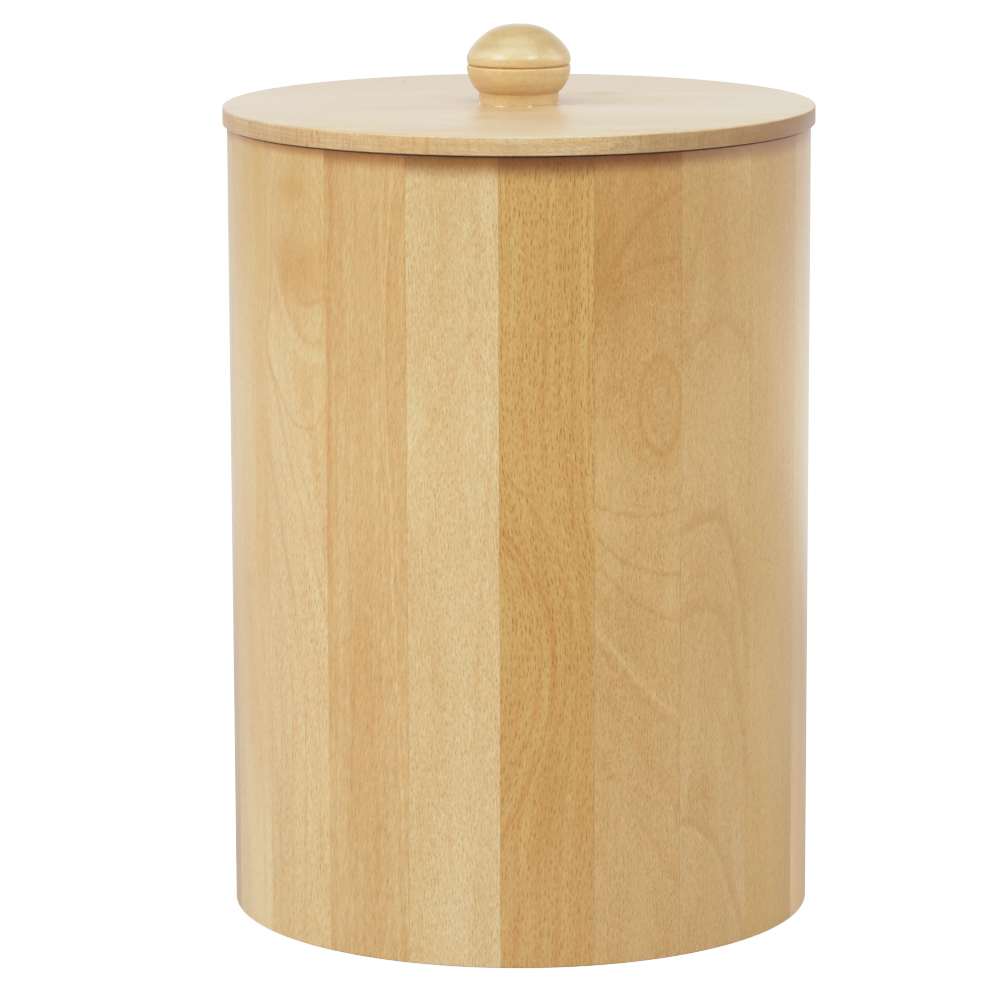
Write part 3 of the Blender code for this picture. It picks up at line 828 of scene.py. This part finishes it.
def turned(profile, facets):
    """A solid of revolution about Z from (radius, z) in millimetres. Ends on the axis are closed
    there; otherwise the profile closes on itself."""
    bm = bmesh.new()
    rings = []
    for radius, z in profile:
        if radius < 1e-6:
            rings.append([bm.verts.new((0, 0, z * MM))])
        else:
            rings.append(
                [
                    bm.verts.new(
                        (
                            radius * MM * math.cos(2 * math.pi * i / facets),
                            radius * MM * math.sin(2 * math.pi * i / facets),
                            z * MM,
                        )
                    )
                    for i in range(facets)
                ]
            )
    pairs = list(zip(rings, rings[1:]))
    if len(rings[0]) > 1 and len(rings[-1]) > 1:
        pairs.append((rings[-1], rings[0]))
    for low, high in pairs:
        for i in range(facets):
            j = (i + 1) % facets
            if len(low) == 1:
                bm.faces.new((low[0], high[j], high[i]))
            elif len(high) == 1:
                bm.faces.new((low[i], low[j], high[0]))
            else:
                bm.faces.new((low[i], low[j], high[j], high[i]))
    return bm


def stave_profile(shrink=0.0):
    """The stave's section through the axis, as (radius, z), rounded at the rims. shrink draws
    every face in by that much, for the fine arris along the glue joints."""
    inner = WALL_R - WALL_THICK
    out, top, a = WALL_R, WALL_HEIGHT, 0.6
    s = shrink
    g0, g1 = GROOVE_BOTTOM, GROOVE_BOTTOM + GROOVE_WIDTH
    points = []
    points += arc(out - a - s, a + s, a, -90, 0, 4)
    points += arc(out - a - s, top - a - s, a, 0, 90, 4)
    points += arc(inner + a + s, top - a - s, a, 90, 180, 4)
    points += [
        (inner + s, g1 - s),
        (inner + GROOVE_DEPTH + s, g1 - s),
        (inner + GROOVE_DEPTH + s, g0 + s),
        (inner + s, g0 + s),
    ]
    points += arc(inner + a + s, a + s, a, 180, 270, 4)
    return points


def stave(number, material):
    turn = FIRST_STAVE_MIDDLE + STAVE_STEP * (number - 1)
    arris, gap, steps = 0.05, 0.01, 24
    bm = bmesh.new()
    slices = []
    edge = math.radians(STAVE_STEP / 2)
    for i in range(-1, steps + 2):
        outermost = i in (-1, steps + 1)
        ring = []
        for radius, z in stave_profile(arris if outermost else 0.0):
            half = edge - math.asin(gap / radius)
            if not outermost:
                half -= math.asin(arris / radius)
            share = -1.0 if i < 0 else 1.0 if i > steps else 2.0 * i / steps - 1.0
            angle = math.radians(turn) + share * half
            ring.append(
                bm.verts.new((radius * MM * math.sin(angle), -radius * MM * math.cos(angle), z * MM))
            )
        slices.append(ring)
    count = len(slices[0])
    for left, right in zip(slices, slices[1:]):
        for i in range(count):
            j = (i + 1) % count
            bm.faces.new((left[i], right[i], right[j], left[j]))
    bm.faces.new(slices[0])
    bm.faces.new(list(reversed(slices[-1])))
    node = f"stave_{number:02d}"
    obj = to_object(bm, node + "_wood", material)
    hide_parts(node)
    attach(obj, "bin")
    return obj


def lid_board(node, y_low, y_high, material):
    """One of the lid's three boards, cut from a turned disc at the glue joints."""
    low, high = LID_UNDERSIDE, LID_UNDERSIDE + LID_THICK
    a, b = 0.7, 0.5
    profile = [(SCREW_HOLE_R, high), (SCREW_HOLE_R, low)]
    profile += arc(LID_R - b, low + b, b, -90, 0, 4)
    profile += arc(LID_R - a, high - a, a, 0, 90, 5)
    bm = turned(profile, 360)
    for y, sign in ((y_low, -1), (y_high, 1)):
        if y is None:
            continue
        cut = bmesh.ops.bisect_plane(
            bm,
            geom=bm.verts[:] + bm.edges[:] + bm.faces[:],
            dist=1e-8,
            plane_co=(0, (y - sign * 0.01) * MM, 0),
            plane_no=(0, sign, 0),
            clear_outer=True,
        )
        edges = [e for e in cut["geom_cut"] if isinstance(e, bmesh.types.BMEdge)]
        bmesh.ops.edgeloop_fill(bm, edges=edges)
    obj = to_object(bm, node + "_wood", material)
    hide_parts(node)
    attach(obj, "lid")
    return obj


KNOB_PROFILE = (
    (13.45, 0.0),
    (13.45, 3.45),
    (13.6, 3.72),
    (14.7, 4.75),
    (15.65, 6.0),
    (16.45, 7.5),
    (17.05, 9.1),
    (17.5, 10.8),
    (17.6, 12.0),
    (17.5, 12.55),
)
KNOB_DOME = (
    (17.4, 13.4),
    (17.55, 14.1),
    (17.5, 15.6),
    (17.05, 17.0),
    (16.2, 18.4),
    (14.95, 20.0),
    (13.3, 21.7),
    (11.3, 23.35),
    (8.9, 24.8),
    (6.1, 25.85),
    (3.1, 26.35),
    (0.0, 26.5),
)


def smooth_through(points, per_span):
    """A Catmull-Rom curve through the points."""
    full = [points[0], *points, points[-1]]
    out = []
    for p0, p1, p2, p3 in zip(full, full[1:], full[2:], full[3:]):
        for i in range(per_span):
            t = i / per_span
            out.append(
                tuple(
                    0.5
                    * (
                        2 * b
                        + (c - a) * t
                        + (2 * a - 5 * b + 4 * c - d) * t * t
                        + (3 * b - a - 3 * c + d) * t * t * t
                    )
                    for a, b, c, d in zip(p0, p1, p2, p3)
                )
            )
    out.append(points[-1])
    return out


def knob(material):
    bun = [(13.3, 0.0), (13.45, 0.15), (13.45, 3.4)] + smooth_through(KNOB_PROFILE[2:], 3)
    groove = [(17.3, 12.75), (16.95, 12.95), (16.9, 13.05), (17.15, 13.2)]
    dome = smooth_through(KNOB_DOME, 3)
    profile = [(0.0, 14.6), (SCREW_HOLE_R, 13.4), (SCREW_HOLE_R, 0.0)] + bun + groove + dome
    bm = turned([(r, z + KNOB_FOOT) for r, z in profile], 144)
    obj = to_object(bm, "knob_wood", material, angle=28)
    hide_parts("knob")
    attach(obj, "lid")
    return obj


def glue_bead(material):
    """The uneven bead of glue squeezed out round the knob's collar."""
    pick = random.Random(11)
    waves = [(k, pick.uniform(0, 2 * math.pi), pick.uniform(0.4, 1.0) / k**0.45) for k in (3, 5, 8, 13, 21, 34)]
    lumps = (
        (-118, 9, 0.24), (-74, 5, 0.24), (-90, 4, 0.08), (-42, 3, 0.12), (-15, 7, 0.40), (-166, 7, 0.40),
        (24, 14, 0.3), (95, 16, 0.3), (150, 12, 0.2),
    )
    bm = bmesh.new()
    steps, rings = 240, []
    inner, bottom = 13.3, 274.31
    for i in range(steps):
        angle = 360.0 * i / steps
        a = math.radians(angle)
        swell = sum(h * math.sin(k * a + p) for k, p, h in waves) / 3.0
        size = 0.09 + 0.05 * swell
        for middle, half, extra in lumps:
            d = (angle - middle + 180) % 360 - 180
            size += extra * math.exp(-((d / half) ** 2))
        size = max(size, 0.04)
        out, up = 0.22 + 0.95 * size, 0.30 + 0.60 * size
        ring = []
        for r, z in ((0.0, 0.0), (out, 0.0), (out * 0.93, up * 0.28), (out * 0.70, up * 0.58), (out * 0.42, up * 0.85), (0.12, up), (0.0, up)):
            ring.append(
                bm.verts.new(
                    ((inner + r) * MM * math.cos(a), (inner + r) * MM * math.sin(a), (bottom + z) * MM)
                )
            )
        rings.append(ring)
    count = len(rings[0])
    for i in range(steps):
        left, right = rings[i], rings[(i + 1) % steps]
        for j in range(count):
            k = (j + 1) % count
            bm.faces.new((left[j], right[j], right[k], left[k]))
    obj = to_object(bm, "glue_bead", material, angle=60)
    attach(obj, "lid")
    return obj


# ---------------------------------------------------------------------------------------------
# The pieces

# How far down the painted shadow under the rim reaches, in millimetres, and how dark it is
RIM_SHADOW_PAINT = {
    17: (3.5, (0.86, 0.55, 0.20)), 18: (4.2, (0.80, 0.51, 0.19)), 19: (6.5, (0.66, 0.42, 0.18)),
    20: (8.5, (0.46, 0.25, 0.06)), 1: (9.0, (0.40, 0.20, 0.03)), 2: (7.5, (0.48, 0.27, 0.08)),
    3: (6.5, (0.60, 0.38, 0.14)), 4: (7.5, (0.66, 0.43, 0.16)), 5: (6.5, (0.70, 0.45, 0.17)),
}

for number in range(1, STAVES + 1):
    turn = FIRST_STAVE_MIDDLE + STAVE_STEP * (number - 1)
    look = dict(LOOKS.get(number) or other_look(number))
    look["brow"] = (WALL_HEIGHT, *RIM_SHADOW_PAINT.get(number, (5.0, (0.70, 0.47, 0.22))))
    stave(number, beech(f"beech_{number:02d}", lambda g, t=turn: place(g, t), look, number))

for number, (node, low, high) in enumerate(
    (
        ("lid_board_front", None, LID_JOINTS[0]),
        ("lid_board_middle", LID_JOINTS[0], LID_JOINTS[1]),
        ("lid_board_rear", LID_JOINTS[1], None),
    )
):
    material = beech(f"beech_{node}", lambda g: place(g, axes="lid"), LID_LOOKS[node], 31 + number)
    lid_board(node, low, high, material)

knob(beech("beech_knob", lambda g: place(g, axes="knob"), KNOB_LOOK, 41))
glue_bead(dried_glue("dried_glue"))

for node, material in (
    ("base_panel", plywood("plywood_base", 12.3, 6.0, 5, (0.62, 0.44, 0.25), 1)),
    ("lid_locating_disc", plywood("plywood_disc", 267.7, 5.0, 3, (0.64, 0.46, 0.27), 2)),
    ("knob_screw", zinc("zinc_plate")),
):
    for slot in bpy.data.objects[node].material_slots:
        slot.material = material


def disc_glue(material):
    """The film of glue between the lid's boards and the disc under them."""
    low, high = LID_UNDERSIDE - 0.29, LID_UNDERSIDE - 0.01
    profile = ((SCREW_HOLE_R, high), (SCREW_HOLE_R, low), (88.0, low), (88.0, high))
    obj = to_object(turned(profile, 192), "disc_glue", material)
    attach(obj, "lid")
    return obj


disc_glue(dried_glue("disc_glue"))

# ---------------------------------------------------------------------------------------------
# Floor, light and camera


def floor():
    """White paper. The camera sees it lit up to white but for the shadow; other rays see paper
    painted paler near the bin and behind it, a painted pool that throws more light back on the bin."""
    bm = bmesh.new()
    bmesh.ops.create_circle(bm, cap_ends=True, segments=128, radius=14.0)
    bmesh.ops.translate(bm, verts=bm.verts, vec=(0, 0, -0.0002))
    mat, g = new_material("studio_floor")
    paper = g.node("ShaderNodeBsdfDiffuse")
    seen = g.node("ShaderNodeLightPath").outputs["Is Camera Ray"]
    coords = g.node("ShaderNodeTexCoord")
    far = g.node("ShaderNodeVectorMath", operation="LENGTH")
    g.put(far.inputs[0], coords.outputs["Object"])
    # Paler near the bin and behind it: a painted pool of light for the bin's lower part.
    near = g.ramp(far.outputs["Value"], 0.35, 0.95, 0.40, 0.26)
    x, y, _ = g.split(coords.outputs["Object"])
    near = g.madd(g.ramp(y, 0.30, 0.80), g.ramp(x, -0.2, 0.4, 0.36, 0.58), near)
    plain = g.vector(near, near, near)
    shade = g.mix(seen, plain, (0.55, 0.55, 0.55, 1))
    g.put(paper.inputs["Color"], shade)
    glow = g.node("ShaderNodeEmission")
    glow.inputs["Color"].default_value = (1, 1, 1, 1)
    level = g.node("ShaderNodeMix", data_type="FLOAT")
    g.put(level.inputs[0], seen)
    level.inputs[2].default_value = 0.0
    level.inputs[3].default_value = 1.6
    g.put(glow.inputs["Strength"], level.outputs[0])
    both = g.node("ShaderNodeAddShader")
    g.put(both.inputs[0], paper.outputs[0])
    g.put(both.inputs[1], glow.outputs[0])
    out = g.node("ShaderNodeOutputMaterial")
    g.put(out.inputs[0], both.outputs[0])
    obj = to_object(bm, "studio_floor", mat)
    obj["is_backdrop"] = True


def softbox(name, azimuth, elevation, distance, size, power, aim=(0, 0, 0.15)):
    """A square soft light. Azimuth is counted from the front (-Y) towards +X."""
    data = bpy.data.lights.new(name, "AREA")
    data.shape = "RECTANGLE"
    data.size, data.size_y = size
    data.energy = power
    obj = bpy.data.objects.new(name, data)
    a, e = math.radians(azimuth), math.radians(elevation)
    back = Vector((math.sin(a) * math.cos(e), -math.cos(a) * math.cos(e), math.sin(e)))
    obj.location = Vector(aim) + back * distance
    obj.rotation_mode = "QUATERNION"
    obj.rotation_quaternion = back.to_track_quat("Z", "Y")
    bpy.context.scene.collection.objects.link(obj)


def world():
    """A studio with a bright wall behind the object and a darker one before it."""
    made = bpy.data.worlds.new("studio")
    bpy.context.scene.world = made
    made.use_nodes = True
    g = Graph(made.node_tree)
    made.node_tree.nodes.clear()
    coords = g.node("ShaderNodeTexCoord")
    x, y, z = g.split(coords.outputs["Generated"])
    low = g.mul(g.ramp(y, -0.15, 0.45, 0.18, 0.95), g.ramp(x, -0.5, 0.8, 1.0, 0.78))
    low = g.add(low, g.ramp(y, 0.72, 0.95, 0.0, 0.15))
    high = g.ramp(y, -0.5, 0.5, 0.20, 0.30)
    level = g.node("ShaderNodeMix", data_type="FLOAT")
    g.put(level.inputs[0], g.ramp(z, 0.30, 0.65))
    g.put(level.inputs[2], low)
    g.put(level.inputs[3], high)
    seen = g.node("ShaderNodeLightPath").outputs["Is Camera Ray"]
    strength = g.node("ShaderNodeMix", data_type="FLOAT")
    g.put(strength.inputs[0], seen)
    g.put(strength.inputs[2], level.outputs[0])
    g.put(strength.inputs[3], 2.2)
    light = g.node("ShaderNodeBackground")
    light.inputs["Color"].default_value = (1, 1, 1, 1)
    g.put(light.inputs["Strength"], strength.outputs[0])
    out = g.node("ShaderNodeOutputWorld")
    g.put(out.inputs[0], light.outputs[0])


def film():
    """A print's response: straight up to the mid tones, with a soft shoulder above them."""
    settings = bpy.context.scene.view_settings
    settings.view_transform = "Standard"
    settings.use_curve_mapping = True
    mapping = settings.curve_mapping
    brightest = 2.0
    mapping.white_level = (brightest, brightest, brightest)
    curve = mapping.curves[3]
    for seen, shown in ((0.5, 0.50), (0.7, 0.68), (0.9, 0.79), (1.15, 0.88), (1.5, 0.95)):
        curve.points.new(seen / brightest, shown)
    mapping.update()


def camera():
    focal, back, height = 5195.39, 1746.69, 462.39
    pitch, roll, yaw = 0.18352, -0.0031, -0.00388
    data = bpy.data.cameras.new("camera")
    data.sensor_width = 36.0
    data.lens = focal / 1000.0 * 36.0
    data.clip_start, data.clip_end = 0.1, 60.0
    obj = bpy.data.objects.new("camera", data)
    bpy.context.scene.collection.objects.link(obj)
    right = Vector((math.cos(yaw), -math.sin(yaw), 0))
    level = Vector((math.sin(yaw), math.cos(yaw), 0))
    up = math.sin(pitch) * level + math.cos(pitch) * Vector((0, 0, 1))
    ahead = math.cos(pitch) * level - math.sin(pitch) * Vector((0, 0, 1))
    side = math.cos(roll) * right + math.sin(roll) * up
    top = math.cos(roll) * up - math.sin(roll) * right
    m = Matrix((side, top, -ahead)).transposed().to_4x4()
    m.translation = Vector((0, -back, height)) * MM
    obj.matrix_world = m
    bpy.context.scene.camera = obj


floor()
world()
softbox("key_front", -10, 50, 12.0, (22.0, 12.0), 1315)
softbox("key_top", -4, 78, 12.0, (13.0, 9.0), 480)
softbox("low_left", -50, 34, 5.0, (1.9, 1.9), 70)
softbox("low_right", 33, 35, 5.0, (1.5, 1.5), 48)
softbox("side_left", -85, 30, 5.0, (3.4, 3.4), 64)
softbox("side_right", 88, 25, 5.0, (4.0, 4.0), 100)
camera()
film()

low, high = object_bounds()
